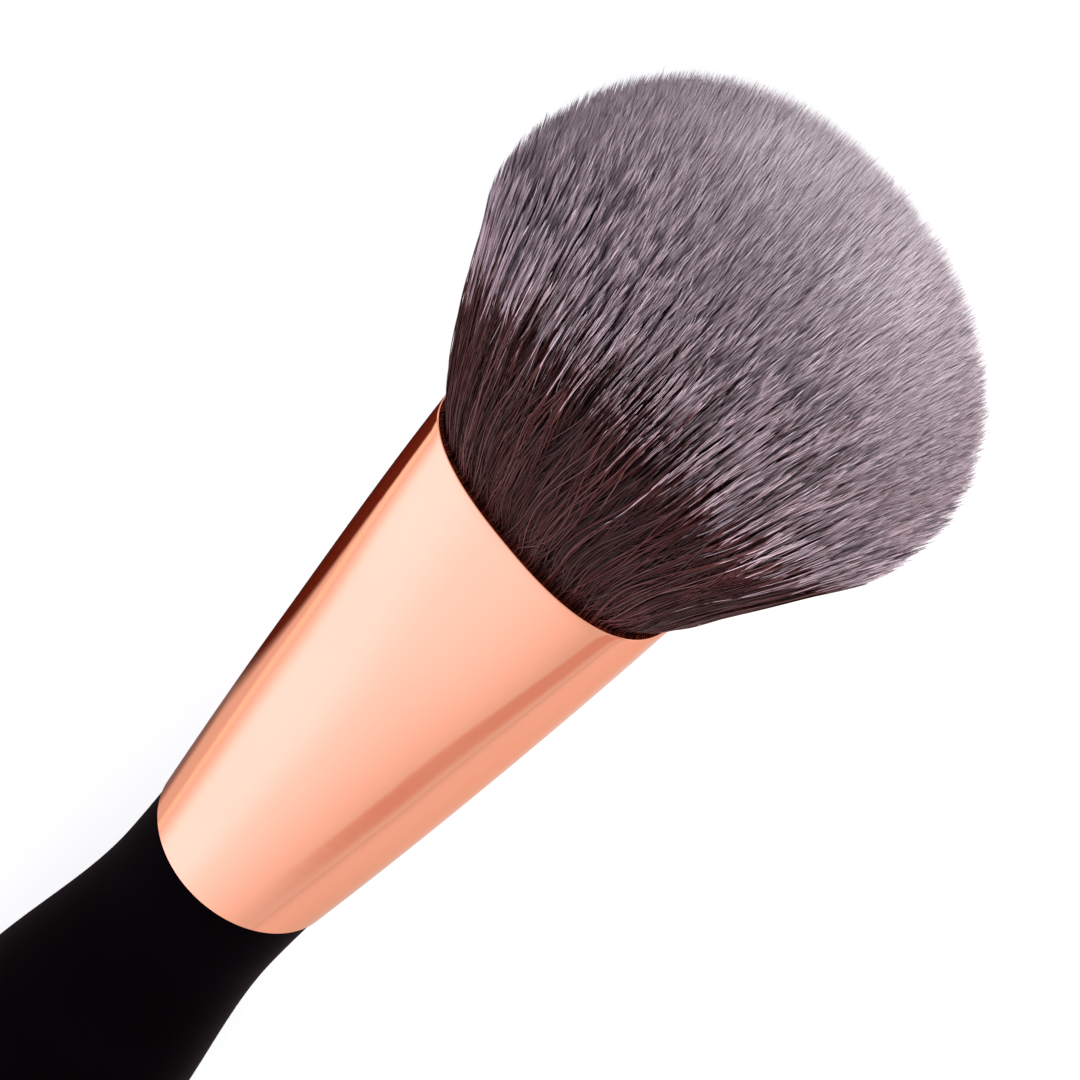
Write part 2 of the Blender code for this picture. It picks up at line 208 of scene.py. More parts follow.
# Wisps: how strongly their fibres gather, and where these come free again near the tips
WISP_PULL = 0.84
LOCK_PULL = 0.08
GATHER_RUN = 0.6
HEART_PULL = 0.35
HEART_SHARE = 0.3
HEART_WITHIN = 0.5
SMOOTH_REACH = (31.0 * MM, 38.0 * MM)
SMOOTH_PULL = 0.35
RIM_PULL = 0.5
TIP_RELEASE = (0.50, 0.92)
RELEASE_START = (0.78, 0.60)

# Crossing: each fibre turns round the oval and back on its way to the tip
CROSSING = 0.075
CROSSING_END = 0.90
CROSSING_PEAK = 6.75

# Waves, as (length, height)
WISP_WAVES = ((13.0 * MM, 0.15 * MM), (6.0 * MM, 0.04 * MM))
LOCK_WAVES = ((19.0 * MM, 0.08 * MM), (10.0 * MM, 0.04 * MM))
OWN_WAVES = ((14.0 * MM, 0.12 * MM), (5.0 * MM, 0.04 * MM))
WAVE_LIMIT = 2.0
WAVE_START = 4.0 * MM
NORMAL_WANDER = 0.22
STRAY_SHARE = 0.12
STRAY_WANDER = 1.8
EDGE_SHARE = 0.975
EDGE_WANDER = 0.35
CALM_SHELL = 0.35
CALM_SHELL_FROM = 0.93
CALM_SHELL_WITHIN = 0.05
OUTER_CALM = 0.75
OUTER_CALM_FROM = 0.62
OUTER_CALM_WITHIN = 0.28
TIP_CALM = 0.4
TIP_CALM_FROM = 0.7
TIP_CALM_WITHIN = 0.3
TIP_CURL = 0.16 * MM
CURL_LENGTH = 3.5 * MM
CURL_REACH = (27.0 * MM, 33.0 * MM)

# The map's U along a fibre: the dark stretch, then the pale one up to the tip. The heart's whiter tips and
# pale core are partly pale dye, partly painted light standing in for light through the fibres
DARK_END = 0.45
PALE_FROM = 0.46
PALE_START = 0.55
HEART_PALE_AND_PAINTED_LIGHT = 1.0
SHELL_PALE = 0.92
SHELL_PALE_FROM = 0.45
SHELL_PALE_WITHIN = 0.45
PALE_LENGTH = 8.0 * MM
PALE_POWER = 1.5
# Partly painted light: the heart's core is paler far below its tips, standing in for light through the fibres
CORE_PALE_AND_PAINTED_LIGHT = 0.8
CORE_SHARE = 0.55
CORE_WITHIN = 0.25
CORE_LENGTH = 16.0 * MM
CORE_FADE = 4.0 * MM
LEAST_LIT = 2.0 * MM

# Finish of the ferrule
GOLD_TINT = (1.0, 0.78, 0.66, 1.0)
GOLD_CLOUDS = ((0.3, (0.94, 0.405, 0.266)), (0.7, (0.96, 0.419, 0.278)))
GOLD_ROUGHNESS = (0.05, 0.09)

# Finish of the handle
COAT_TINT = (1.0, 0.5, 0.78, 1.0)
COAT_SHEEN = (1.0, 0.62, 0.72, 1.0)
COAT_CLOUDS = ((0.35, (0.0009, 0.0003, 0.0007)), (0.65, (0.0014, 0.0006, 0.0011)))
COAT_ROUGHNESS = (0.46, 0.58)

# Finishes of the hidden pieces
CLOUD_PLACES = (0.3, 0.7)
ROUGHNESS_SPAN = 0.06

# Colours along a fibre, by the map's U
FIBRE_COLOURS = (
    (0.0, (0.045, 0.0080, 0.0073)),
    (0.43, (0.054, 0.0112, 0.0106)),
    (0.49, (0.14, 0.068, 0.070)),
    (0.55, (0.455, 0.334, 0.373)),
    (0.70, (0.440, 0.326, 0.367)),
    (0.80, (0.335, 0.250, 0.285)),
    (0.92, (0.480, 0.398, 0.450)),
    (1.0, (0.80, 0.72, 0.775)),
)
FIBRE_TINT = (1.0, 0.75, 0.75, 1.0)

# Each fibre's brightness by its shade, and by chance a paler brown below the dye line, partly tone and partly
# a painted highlight, and a redder hue
BRIGHTNESS = (0.0, 1.75)
CHANCE_SCALE = 531.0
PALER_AND_GLINT_ALONG = (0.46, 0.56)
PALER_AND_GLINT_CHANCE = (0.55, 0.0)
PALER_AND_GLINT_MOST = 0.7
PALER_AND_GLINT_BROWN = (0.150, 0.070, 0.066, 1.0)
RED_CHANCE = (0.6, 1.0)
RED_MOST = 0.15
REDDER = (1.2, 0.88, 0.82, 1.0)

# Floor
FLOOR_HALF = 1.5
FLOOR_LIT = (0.82, 0.82, 0.82, 1.0)
FLOOR_SEEN = (0.42, 0.42, 0.42, 1.0)
FLOOR_GLOW = 0.66

# What the ferrule mirrors of the floor, seen by glossy rays only: a painted shadow patch beside the brush,
# painted shade on the ground near it, and paler ground farther off. Each patch has smooth edges (start, end),
# in metres.
MIRRORED_PAINTED_SHADOW = (0.10, 0.022, 0.012, 1.0)
MIRRORED_PAINTED_SHADE_NEAR = (0.31, 0.265, 0.24, 1.0)
MIRRORED_FAR = (0.74, 0.70, 0.60, 1.0)
SHADOW_PATCH_SLANT = 0.44
SHADOW_PATCH_EDGE = (0.005, 0.022)
CLOSE_SHADOW_EDGE = (0.034, 0.020)
CLOSE_SHADOW_SHARE = 0.7
SHADOW_PATCH_LIMITS = (("Y", (0.004, 0.010)), ("Y", (0.110, 0.080)), ("X", (0.070, 0.050)))
FAR_EDGE = (0.070, 0.150)

# World: brighter towards one side, dimmer low down, with a warm strip that the ferrule mirrors
BRIGHT_SIDE = (-0.75, 0.50, 0.43)
WIDE_EDGE = (0.36, 0.824)
WIDE_STRENGTH = (0.83, 1.43)
BRIGHT_EDGE = (0.82, 1.0)
BRIGHT_STRENGTH = 0.37
DUSK_LIMITS = (("Z", (0.31, 0.0)), ("Y", (0.30, 0.60)))
DUSK_DIMMING = -0.33
STRIP_LIMITS = (("Z", (0.345, 0.285)), ("Z", (0.02, 0.14)), ("Y", (-0.30, -0.50)), ("X", (-0.80, -0.755)))
STRIP_COLOUR = (0.90, 0.66, 0.61, 1.0)
COOL_EDGE = (0.95, 1.83)
COOL_COLOUR = (1.0, 1.0, 1.25, 1.0)

# Lamp
RIM_PLACE = (0.42, -0.36, 0.28)
RIM_TARGET = (0.07, 0.0, 0.015)
RIM_SIZE = (0.3, 0.25)
RIM_POWER = 4.1

# Camera, from the fit to the photograph (pixels of its 1080 x 1080 frame)
IMAGE_SIZE = 1080
FOCAL_PIXELS = 6184.0
CAMERA_DISTANCE = 450.0 * MM
CAMERA_TILT = math.radians(42.0)
CAMERA_TURN = math.radians(-11.19)
AIM_U = 43.90 * MM
AIM_SIDE = 0.42 * MM
AXIS_IN_IMAGE = (0.682, -0.731)
SENSOR_WIDTH = 36.0
CLIP_START = 0.01
CLIP_END = 10.0


def blend(start, end, share):
    return start + (end - start) * share


def unit(share):
    """A share held between 0 and 1."""
    return np.clip(share, 0.0, 1.0)


def smooth(share):
    """A smooth step from 0 to 1."""
    share = unit(share)
    return share * share * (3.0 - 2.0 * share)


def smooth_over(value, reach):
    """A smooth step of value, from 0 at the start of reach to 1 at its end."""
    return smooth((value - reach[0]) / (reach[1] - reach[0]))


def oval_scale(angle, squareness):
    """Distance from the centre to a unit superellipse at an angle."""
    c = np.abs(np.cos(angle)) ** squareness
    s = np.abs(np.sin(angle)) ** squareness
    return (c + s) ** (-1.0 / squareness)


def ferrule_section(u, inset):
    """Half width, half thickness and squareness of the ferrule's outer surface at u, drawn in by inset."""
    share = min(max(u / FERRULE_LENGTH, 0.0), 1.0)
    bulge = share * (1.0 - share)
    half_width = blend(ROUND_RADIUS, MOUTH_HALF_WIDTH, share) + WIDTH_BULGE * bulge
    half_thickness = blend(ROUND_RADIUS, MOUTH_HALF_THICKNESS, share) + THICKNESS_BULGE * bulge
    pressed_share = smooth((share - PRESS_START) / (1.0 - PRESS_START))
    squareness = blend(ROUND_SQUARENESS, MOUTH_SQUARENESS, pressed_share)
    return half_width - inset, half_thickness - inset, squareness


def ring_at(u, half_width, half_thickness, squareness, segments):
    """A ring of points round the axis at u, in the brush's own frame."""
    angles = np.arange(segments) * 2.0 * math.pi / segments
    reach = oval_scale(angles, squareness)
    return np.stack([np.full(segments, u), half_width * reach * np.cos(angles),
                     half_thickness * reach * np.sin(angles)], 1)


def placed(points):
    """Points of the brush's own frame, in world space."""
    return np.asarray(points) @ TO_WORLD + np.array(ORIGIN)


def linked(name, data):
    obj = bpy.data.objects.new(name, data)
    bpy.context.collection.objects.link(obj)
    return obj


def lofted(name, rings, material, sharp_angle, closed_ends):
    """A smooth-shaded skin through rings of equal length, with its ends closed or joined to each other."""
    mesh = bmesh.new()
    made = [[mesh.verts.new(p) for p in placed(ring)] for ring in rings]
    count = len(made[0])
    pairs = list(zip(made[:-1], made[1:]))
    if not closed_ends:
        pairs.append((made[-1], made[0]))
    for lower, upper in pairs:
        for i in range(count):
            j = (i + 1) % count
            mesh.faces.new((lower[i], lower[j], upper[j], upper[i]))
    if closed_ends:
        mesh.faces.new(made[0])
        mesh.faces.new(made[-1])
    bmesh.ops.recalc_face_normals(mesh, faces=mesh.faces)
    data = bpy.data.meshes.new(name)
    mesh.to_mesh(data)
    mesh.free()
    data.shade_smooth()
    data.set_sharp_from_angle(angle=math.radians(sharp_angle))
    data.materials.append(material)
    return linked(name, data)


class Nodes:
    """Short calls to add nodes to a node tree."""

    def __init__(self, tree):
        self.tree = tree

    def feed(self, socket, value):
        if isinstance(value, bpy.types.NodeSocket):
            self.tree.links.new(value, socket)
        else:
            socket.default_value = value

    def node(self, kind, settings=None, **inputs):
        node = self.tree.nodes.new("ShaderNode" + kind)
        for key, value in (settings or {}).items():
            setattr(node, key, value)
        for key, value in inputs.items():
            self.feed(node.inputs[key.replace("_", " ")], value)
        return node

    def maths(self, operation, *values):
        node = self.node("Math", {"operation": operation})
        for socket, value in zip(node.inputs, values):
            self.feed(socket, value)
        return node.outputs[0]

    def mapped(self, value, edge=(0.0, 1.0), to=(0.0, 1.0), kind="LINEAR"):
        """A value carried over from the range edge to the range to."""
        node = self.node("MapRange", {"interpolation_type": kind}, Value=value, From_Min=edge[0],
                         From_Max=edge[1], To_Min=to[0], To_Max=to[1])
        return node.outputs[0]

    def stepped(self, value, edge, most=1.0):
        """A smooth step of value across edge, from 0 to most."""
        return self.mapped(value, edge, (0.0, most), "SMOOTHSTEP")

    def ramp(self, factor, stops):
        node = self.node("ValToRGB", Fac=factor)
        ramp = node.color_ramp
        while len(ramp.elements) < len(stops):
            ramp.elements.new(0.5)
        for element, (place, colour) in zip(ramp.elements, stops):
            element.position = place
            element.color = (*colour, 1.0)
        return node.outputs["Color"]

    def mix(self, factor, first, second, blend_type="MIX", kind="RGBA"):
        node = self.node("Mix", {"data_type": kind, "blend_type": blend_type})
        first_socket, second_socket, result = MIX_SOCKETS[kind]
        self.feed(node.inputs[0], factor)
        self.feed(node.inputs[first_socket], first)
        self.feed(node.inputs[second_socket], second)
        return node.outputs[result]


class Shader(Nodes):
    """The nodes of a new material, which has a Principled BSDF."""

    def __init__(self, name):
        self.material = bpy.data.materials.new(name)
        self.material.use_nodes = True
        super().__init__(self.material.node_tree)
        self.bsdf = self.tree.nodes["Principled BSDF"]

    def set(self, **values):
        for key, value in values.items():
            self.bsdf.inputs[key.replace("_", " ")].default_value = value

    def link(self, socket, key):
        self.tree.links.new(socket, self.bsdf.inputs[key])

    def noise(self, place, scale, detail):
        return self.node("TexNoise", Vector=place, Scale=scale, Detail=detail).outputs["Fac"]

    def bump(self, height, strength, distance):
        node = self.node("Bump", Strength=strength, Distance=distance, Height=height)
        self.link(node.outputs["Normal"], "Normal")


def rose_gold():
    s = Shader("rose_gold")
    s.set(Metallic=1.0, Specular_Tint=GOLD_TINT)
    place = s.node("TexCoord").outputs["Object"]
    cloud = s.noise(place, scale=60.0, detail=3.0)
    s.link(s.ramp(cloud, GOLD_CLOUDS), "Base Color")
    fine = s.noise(place, scale=900.0, detail=2.0)
    s.link(s.mapped(fine, to=GOLD_ROUGHNESS), "Roughness")
    s.bump(fine, strength=0.02, distance=0.0002)
    return s.material


def soft_touch():
    s = Shader("soft_touch_black")
    s.set(Specular_IOR_Level=0.003, Specular_Tint=COAT_TINT)
    s.set(Sheen_Weight=0.02, Sheen_Roughness=0.3, Sheen_Tint=COAT_SHEEN)
    place = s.node("TexCoord").outputs["Object"]
    cloud = s.noise(place, scale=90.0, detail=4.0)
    s.link(s.ramp(cloud, COAT_CLOUDS), "Base Color")
    fine = s.noise(place, scale=2500.0, detail=3.0)
    s.link(s.mapped(fine, to=COAT_ROUGHNESS), "Roughness")
    s.bump(fine, strength=0.08, distance=0.00005)
    return s.material


def dyed_fibre():
    """The map's U is the place along a fibre (0 root, 1 tip) and its V is the fibre's own shade, 0 to 1,
    partly tone and partly painted shade.
    """
    s = Shader("dyed_fibre")
    s.set(Roughness=0.38, Specular_IOR_Level=0.085, Specular_Tint=FIBRE_TINT)
    place = s.node("SeparateXYZ", Vector=s.node("UVMap").outputs["UV"])
    along = place.outputs["X"]
    own = place.outputs["Y"]
    place_in_noise = s.maths("MULTIPLY", own, CHANCE_SCALE)
    chance = s.node("TexWhiteNoise", {"noise_dimensions": "1D"}, W=place_in_noise).outputs["Value"]
    colour = s.ramp(along, FIBRE_COLOURS)
    # Painted highlight, partly: some brown fibres by chance turn a paler brown, standing in for highlights
    # along them
    below = s.mapped(along, PALER_AND_GLINT_ALONG, to=(1.0, 0.0))
    paler_and_glint = s.mapped(chance, PALER_AND_GLINT_CHANCE, to=(0.0, PALER_AND_GLINT_MOST))
    colour = s.mix(s.maths("MULTIPLY", paler_and_glint, below), colour, PALER_AND_GLINT_BROWN)
    # Each fibre's shade: random tone, partly painted shade standing in for shadow between the wisps
    colour = s.mix(1.0, colour, s.mapped(own, to=BRIGHTNESS), "MULTIPLY")
    red = s.mapped(chance, RED_CHANCE, to=(0.0, RED_MOST))
    colour = s.mix(red, colour, s.mix(1.0, colour, REDDER, "MULTIPLY"))
    s.link(colour, "Base Color")
    return s.material


def plain(name, dark, pale, scale, roughness):
    """A cloudy finish for the pieces hidden inside."""
    s = Shader(name)
    cloud = s.noise(s.node("TexCoord").outputs["Object"], scale, detail=4.0)
    s.link(s.ramp(cloud, list(zip(CLOUD_PLACES, (dark, pale)))), "Base Color")
    rough = s.mapped(cloud, to=(roughness - ROUGHNESS_SPAN, roughness + ROUGHNESS_SPAN))
    s.link(rough, "Roughness")
    return s.material


def hermite(start, end, slope_in, slope_out, share):
    """Radius at a share of the way between two points of an outline, with given slopes at both."""
    run = end[0] - start[0]
    s2 = share * share
    s3 = s2 * share
    return ((2 * s3 - 3 * s2 + 1) * start[1] + (s3 - 2 * s2 + share) * run * slope_in
            + (3 * s2 - 2 * s3) * end[1] + (s3 - s2) * run * slope_out)


def handle_outline():
    """The handle's outline from its end to the start of its tenon, as (u, radius) with rising u."""
    points = []
    for i in range(BUTT_STEPS):
        angle = 0.5 * math.pi * i / BUTT_STEPS
        points.append((HANDLE_END[0] - BUTT_ROUNDING * math.cos(angle),
                       blend(BUTT_FLAT_RADIUS, HANDLE_END[1], math.sin(angle))))
    for start, end, slope_in, slope_out, steps in HANDLE_STRETCHES:
        for i in range(steps):
            share = i / steps
            points.append((blend(start[0], end[0], share), hermite(start, end, slope_in, slope_out, share)))
    tenon_radius = ROUND_RADIUS - FERRULE_WALL - TENON_GAP
    points.append((-SHOULDER_GAP, HANDLE_SHOULDER[1]))
    points.append((-SHOULDER_GAP, tenon_radius))
    points.append((TENON_SHOWN, tenon_radius))
    return points


def build_handle():
    rings = [ring_at(u, r, r, ROUND_SQUARENESS, HANDLE_SEGMENTS) for u, r in handle_outline()]
    handle = lofted("handle_coated", rings, soft_touch(), HANDLE_SHARP_ANGLE, closed_ends=True)
    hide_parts("handle")
    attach(handle, ROOT)


def build_ferrule():
    """The ferrule's skin: up its outside, round its lip and down its inside."""
    outside_end = FERRULE_LENGTH - LIP_RADIUS
    path = [(blend(0.0, outside_end, i / FERRULE_STEPS), 0.0) for i in range(FERRULE_STEPS + 1)]
    for i in range(1, LIP_STEPS + 1):
        angle = 0.5 * math.pi * i / LIP_STEPS
        path.append((outside_end + LIP_RADIUS * math.sin(angle), LIP_RADIUS * (1.0 - math.cos(angle))))
    path.append((FERRULE_LENGTH, FERRULE_WALL))
    for i in range(INSIDE_STEPS + 1):
        path.append((blend(FERRULE_LENGTH - INSIDE_START, 0.0, i / INSIDE_STEPS), FERRULE_WALL))
    rings = [ring_at(u, *ferrule_section(u, inset), FERRULE_SEGMENTS) for u, inset in path]
    ferrule = lofted("ferrule_polished", rings, rose_gold(), FERRULE_SHARP_ANGLE, closed_ends=False)
    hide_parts("ferrule")
    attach(ferrule, ROOT)


def mouth_section():
    """Half width, half thickness and squareness of the hair in the ferrule's mouth."""
    return ferrule_section(FERRULE_LENGTH, FERRULE_WALL + MOUTH_GAP)


def hex_seats(count, random):
    """Seats spread evenly over the unit oval of the mouth, as rows of (p, q)."""
    a, b, n = mouth_section()
    angles = np.linspace(0, 2 * math.pi, OVAL_STEPS)
    area = 0.5 * np.trapz(a * b * oval_scale(angles, n) ** 2, angles)
    pitch = math.sqrt(area / count / HEX_ROW)
    rows = int(b / (pitch * HEX_ROW)) + 2
    columns = int(a / pitch) + 2
    r, c = np.mgrid[-rows:rows + 1, -columns:columns + 1]
    v = (c + 0.5 * (r % 2)) * pitch
    w = r * pitch * HEX_ROW
    jitter = random.uniform(-SEAT_JITTER, SEAT_JITTER, (v.size, 2)) * pitch
    seats = np.stack([v.ravel(), w.ravel()], 1) + jitter
    seats /= (a, b)
    share = (np.abs(seats) ** n).sum(1) ** (1.0 / n)
    return seats[share < 1.0]


def facing_of(seats):
    """How far a seat lies towards the broad faces of the head: 0 at its narrow sides, 1 on the faces."""
    return np.abs(np.sin(np.arctan2(seats[:, 1], seats[:, 0]))) ** FACING_POWER


def share_of(seats, most=1.0):
    """How far out a seat lies in the oval: 0 at its centre, 1 on its edge."""
    share = (np.abs(seats) ** DOME_SQUARENESS).sum(-1) ** (1.0 / DOME_SQUARENESS)
    return np.clip(share, LEAST_SHARE, most)


def outline(x):
    """Half width, half thickness and offset of the hair's outline, x past the ferrule."""
    a, b, _ = mouth_section()
    rise = 1.0 - (1.0 - unit(x / DOME_START)) ** FLARE_POWER
    offset = DOME_OFFSET * smooth_over(x, OFFSET_REACH)
    return blend(a, DOME_HALF_WIDTH, rise), blend(b, DOME_HALF_THICKNESS, rise), offset


def spread(seats, x):
    """Half width, half thickness and offset for each fibre at x. The fan opens wide at the narrow sides of
    the head, and less on its broad faces."""
    a, _, _ = mouth_section()
    _, half_thickness, offset = outline(x)
    out = np.clip(x, 0.0, None)
    power = NARROWING_POWER + NARROWING_LEAN * seats[:, 0]
    faced = facing_of(seats) ** power * share_of(seats)
    faced = faced.reshape(faced.shape + (1,) * (x.ndim - 1))
    half_width = a + SIDE_SLOPE * out * (1.0 - FACE_NARROWING * faced)
    half_width = half_width + OPENING * (1.0 - faced) * (1.0 - np.exp(-out / OPENING_LENGTH))
    half_thickness = half_thickness + FACE_SPREAD * np.clip(x - DOME_START, 0.0, None)
    return half_width, half_thickness, offset


def inside_outline(seats, x):
    """Whether each fibre is still inside the head's outline at x."""
    half_width, half_thickness, offset = spread(seats, x)
    edge_width, edge_thickness, edge_offset = outline(x)
    place = np.stack([(seats[:, 0] * half_width + offset - edge_offset) / edge_width,
                      seats[:, 1] * half_thickness / edge_thickness], 1)
    rise = unit((x - DOME_TILT * place[:, 0] - DOME_START) / DOME_HEIGHT)
    across, upwards = DOME_ROUNDNESS
    return share_of(place, MOST_SHARE) ** across + rise ** upwards < 1.0


def reach_of(seats):
    """Where each fibre meets the outline, by halving."""
    low = np.full(len(seats), FIRST_END)
    high = np.full(len(seats), DOME_START + DOME_HEIGHT)
    for _ in range(HALVINGS):
        x = 0.5 * (low + high)
        inside = inside_outline(seats, x)
        low = np.where(inside, x, low)
        high = np.where(inside, high, x)
    return low


def on_mouth(seat):
    """A seat's place on the mouth, in millimetres."""
    return (seat[0] * MOUTH_HALF_WIDTH / MM, seat[1] * MOUTH_HALF_THICKNESS / MM, 0.0)


def nearest(seats, centres):
    """Index of the clump centre nearest to each seat, measured on the mouth."""
    tree = KDTree(len(centres))
    for i, centre in enumerate(centres):
        tree.insert(on_mouth(centre), i)
    tree.balance()
    return np.array([tree.find(on_mouth(seat))[1] for seat in seats])


def turned(path, turn):
    """Places turned round the oval by an angle, at the same share of its radius."""
    angle = np.arctan2(path[..., 1], path[..., 0])
    radius = np.linalg.norm(path, axis=-1) / oval_scale(angle, DOME_SQUARENESS)
    angle = angle + turn
    radius = radius * oval_scale(angle, DOME_SQUARENESS)
    return np.stack([radius * np.cos(angle), radius * np.sin(angle)], -1)


def pressed(points):
    """The lowest hairs pressed flat on the surface that the brush lies on."""
    z = points[..., 2]
    soft = FLAT_SOFTNESS * np.log1p(np.exp(np.clip(z, None, PRESSED_HEIGHT) / FLAT_SOFTNESS))
    points[..., 2] = np.where(z < PRESSED_HEIGHT, soft, z)
    return points


class Fibres(SimpleNamespace):
    """Arrays with one row for each fibre."""

    def part(self, ids):
        return Fibres(**{key: rows[ids] for key, rows in vars(self).items()})


def seated_fibres(random):
    """The fibres with their seats, the wisps and locks that they belong to, and how far they reach."""
    seats = hex_seats(FIBRE_COUNT, random)
    wisps = hex_seats(WISP_COUNT, random)
    locks = hex_seats(LOCK_COUNT, random)
    kept = (share_of(seats) < SHELL_START) | (random.random(len(seats)) < SHELL_KEPT)
    seats = seats[kept]
    own_wisp = nearest(seats, wisps)
    own_lock = nearest(wisps, locks)[own_wisp]
    f = Fibres(seat=seats, own_wisp=own_wisp, own_lock=own_lock, wisp=wisps[own_wisp], lock=locks[own_lock])
    f.share = share_of(seats)
    f.facing = facing_of(seats)
    f.full_reach = reach_of(seats)
    count = len(seats)
    f.reach = f.full_reach - random.exponential(SHORTNESS, count) + random.normal(0.0, REACH_SCATTER, count)
    return f, len(wisps), len(locks)


def dye_lines(f, wisp_count, lock_count, random):
    """Where each fibre turns from brown to pale, x past the ferrule."""
    count = len(f.seat)
    wisp_dye = random.normal(0.0, WISP_DYE, wisp_count)
    lock_dye = random.normal(0.0, LOCK_DYE, lock_count)
    dyed = blend(SIDE_DYED_LENGTH, FACE_DYED_LENGTH, f.facing)
    dyed = blend(dyed, APEX_DYED_LENGTH, smooth_over(f.full_reach, APEX_REACH))
    first = blend(SIDE_DYE_START, FACE_DYE_START, f.facing ** DYE_START_POWER)
    dye = np.maximum(f.full_reach - dyed, first)
    dye -= DYE_TILT * f.seat[:, 0]
    dye += wisp_dye[f.own_wisp] + lock_dye[f.own_lock] + random.normal(0.0, OWN_DYE, count)
    dye -= random.exponential(EARLY_DYE, count) - EARLY_DYE_SHIFT
    dye = np.minimum(dye, f.reach - LEAST_DYED)
    latest = np.maximum(dye, f.reach - LATE_LEAST_DYED)
    late = np.minimum(dye + random.exponential(LATE_DYE, count), latest)
    return np.where(random.random(count) < LATE_DYE_SHARE, late, dye)


def shades(f, wisp_count, random):
    """Each fibre's shade, 0 to 1, in a limited number of steps: random tone that partly stands in as painted
    shade between wisps, plus a painted shade on the broad faces near the apex.
    """
    wisp_shade = 1.0 - SHADE_DEPTH * random.uniform(0.0, 1.0, wisp_count) ** 2
    own_shade = 1.0 - SHADE_DEPTH * random.uniform(0.0, 1.0, len(f.seat)) ** 2
    contrast = blend(LEAST_CONTRAST, 1.0, 1.0 - f.loosened)
    # Painted shade: the broad faces darken towards the apex
    painted_shade = FACE_PAINTED_SHADE * f.facing ** 2 * smooth_over(f.full_reach, FACE_PAINTED_SHADE_REACH)
    # Random tone per wisp and per fibre, partly painted shade standing in for shadow between the wisps
    shade = blend(EVEN_SHADE, wisp_shade[f.own_wisp] * own_shade, contrast) * (1.0 - painted_shade)
    return (np.floor(shade * (TINTS - 1)) + 0.5) / TINTS


def wave_set(random, count):
    """Phases and sizes of two waves in two directions."""
    phases = random.uniform(0.0, 2.0 * math.pi, (count, 4))
    return phases, np.clip(random.normal(0.0, 1.0, (count, 4)), -WAVE_LIMIT, WAVE_LIMIT)


def give_bends(f, wisp_count, lock_count, random):
    """Each fibre's waves, crossing and curl."""
    count = len(f.seat)
    stray = np.where(random.random(count) < STRAY_SHARE, STRAY_WANDER, 1.0)
    stray = np.where(f.share > EDGE_SHARE, EDGE_WANDER, stray)
    f.calm = blend(1.0, CALM_SHELL, smooth((f.share - CALM_SHELL_FROM) / CALM_SHELL_WITHIN))
    f.wisp_phases, f.wisp_sizes = (rows[f.own_wisp] for rows in wave_set(random, wisp_count))
    f.lock_phases, f.lock_sizes = (rows[f.own_lock] for rows in wave_set(random, lock_count))
    f.own_phases, own_sizes = wave_set(random, count)
    f.own_sizes = own_sizes * stray[:, None]
    f.crossing = CROSSING * random.normal(0.0, 1.0, count)
    f.curl = TIP_CURL * random.normal(0.0, 1.0, (count, 2))
    f.curl *= smooth_over(f.full_reach, CURL_REACH)[:, None]


def grown_fibres(random):
    """All fibres with all that sets them apart. The order of the calls is the order of the random draws."""
    f, wisp_count, lock_count = seated_fibres(random)
    f.dye = dye_lines(f, wisp_count, lock_count, random)
    calm_tip = 1.0 - smooth_over(f.full_reach, CALM_REACH)
    rim = 1.0 - smooth_over(f.facing, RIM_FACING)
    rim *= smooth_over(f.full_reach, RIM_REACH)
    f.loosened = np.maximum(1.0 - calm_tip, rim)
    f.smoother = blend(1.0, SMOOTH_PULL, smooth_over(f.full_reach, SMOOTH_REACH)) * blend(1.0, RIM_PULL, rim)
    f.tint = shades(f, wisp_count, random)
    f.spin = random.normal(0.0, 1.0, (len(f.seat), 3))
    give_bends(f, wisp_count, lock_count, random)
    return f


def gathered(f, run):
    """Each fibre's path in the oval: drawn to its wisp, crossing others, and free again near its tip."""
    inwards = blend(HEART_PULL, 1.0, unit((f.share - HEART_SHARE) / HEART_WITHIN))
    pull = WISP_PULL * (f.smoother * inwards)[:, None, None]
    wisp_path = blend(f.wisp[:, None, :], f.lock[:, None, :], LOCK_PULL * run)
    release = blend(*TIP_RELEASE, f.loosened)[:, None, None]
    start = blend(*RELEASE_START, f.loosened)[:, None, None]
    held = unit(run / GATHER_RUN) * (1.0 - release * smooth((run - start) / (1.0 - start)))
    path = blend(f.seat[:, None, :], wisp_path, pull * held)
    crossed = unit(run[..., 0] / CROSSING_END)
    return turned(path, f.crossing[:, None] * CROSSING_PEAK * crossed * (1.0 - crossed) ** 2)


def waves(phases, sizes, x, set_of_waves):
    """Sideways waves along the fibres, with phases and sizes that a wisp's fibres may share."""
    out = np.zeros(x.shape + (2,))
    for k, (length, height) in enumerate(set_of_waves):
        for axis in range(2):
            c = 2 * k + axis
            turns = 2.0 * math.pi * x / length + phases[:, c, None]
            out[..., axis] += height * sizes[:, c, None] * np.sin(turns)
    return out


